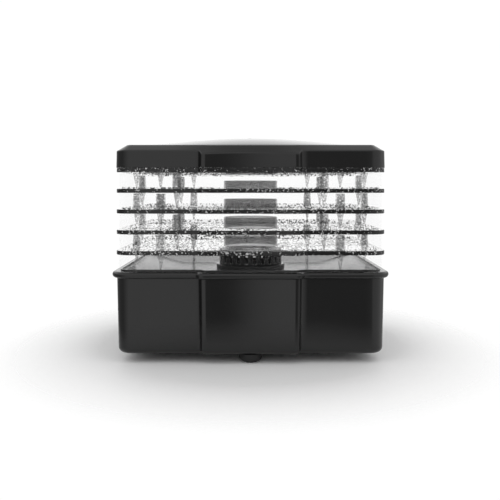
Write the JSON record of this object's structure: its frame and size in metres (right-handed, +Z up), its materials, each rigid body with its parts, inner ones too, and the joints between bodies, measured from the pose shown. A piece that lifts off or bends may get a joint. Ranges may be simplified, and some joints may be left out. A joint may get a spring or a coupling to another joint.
{
  "type": "food dehydrator",
  "caption": "Countertop food dehydrator: black fan and heater base on four feet, a stack of clear ventilated trays and a black lid with a crowned window.",
  "frame": {"origin": "on the table, under the middle of the base", "axes": "+X along the long sides toward the controls, -Y out of the front panel, +Z up"},
  "size_m": [0.334, 0.265, 0.2761],
  "materials": {
    "shell": "satin",
    "deck": "polished",
    "lid": "satin",
    "window": "polished",
    "tray": "clear moulded plastic",
    "rubber": "matte",
    "steel": "plated",
    "motor": "bare",
    "white": "matte",
    "board": "pressed board",
    "coil": "bare wire",
    "lens": "polished"
  },
  "bodies": {
    "base": {"air_duct": "white", "base_deck": "deck", "base_tub": "shell", "bracket_screw_1": "steel", "bracket_screw_2": "steel", "control_bezel": "deck", "cord_gland": "rubber", "deck_screw_1": "steel", "deck_screw_2": "steel", "deck_screw_3": "steel", "deck_screw_4": "steel", "fan_motor": "motor", "foot_back": "rubber", "foot_front": "rubber", "foot_left": "rubber", "foot_right": "rubber", "heater_coil": "coil", "heater_frame": "board", "motor_bracket": "steel", "outlet_tower": "deck", "pilot_lamp_body": "white", "pilot_lamp_lens": "lens", "switch_housing": "shell", "switch_lead": "white", "terminal_block": "white", "thermal_fuse": "steel", "thermostat": "white", "thermostat_lead": "white"},
    "fan": {"fan_impeller": "white", "motor_shaft": "steel"},
    "knob": {"control_knob": "shell", "thermostat_spindle": "steel"},
    "rocker": {"switch_rocker": "shell"},
    "lid": {"lid_frame": "lid", "lid_window": "window"},
    "tray_1": {"tray_1": "tray"},
    "tray_2": {"tray_2": "tray"},
    "tray_3": {"tray_3": "tray"},
    "tray_4": {"tray_4": "tray"},
    "tray_5": {"tray_5": "tray"}
  },
  "joints": [
    {"name": "tray_5_lift", "type": "slide", "parent": "base", "child": "tray_5", "axis": [0, 0, 1], "range_m": [0, 0.03]},
    {"name": "tray_4_lift", "type": "slide", "parent": "tray_5", "child": "tray_4", "axis": [0, 0, 1], "range_m": [0, 0.03]},
    {"name": "tray_3_lift", "type": "slide", "parent": "tray_4", "child": "tray_3", "axis": [0, 0, 1], "range_m": [0, 0.03]},
    {"name": "tray_2_lift", "type": "slide", "parent": "tray_3", "child": "tray_2", "axis": [0, 0, 1], "range_m": [0, 0.03]},
    {"name": "tray_1_lift", "type": "slide", "parent": "tray_2", "child": "tray_1", "axis": [0, 0, 1], "range_m": [0, 0.03]},
    {"name": "lid_lift", "type": "slide", "parent": "tray_1", "child": "lid", "axis": [0, 0, 1], "range_m": [0, 0.03]},
    {"name": "fan_spin", "type": "hinge", "parent": "base", "child": "fan", "pos_m": [0, 0, 0.062], "axis": [0, 0, 1], "continuous": true},
    {"name": "knob_turn", "type": "hinge", "parent": "base", "child": "knob", "pos_m": [0.152, -0.024, 0.058], "axis": [1, 0, 0], "range_deg": [0, 270]},
    {"name": "rocker_press", "type": "hinge", "parent": "base", "child": "rocker", "pos_m": [0.15, 0.012, 0.058], "axis": [0, 0, 1], "range_deg": [0, 12]}
  ]
}
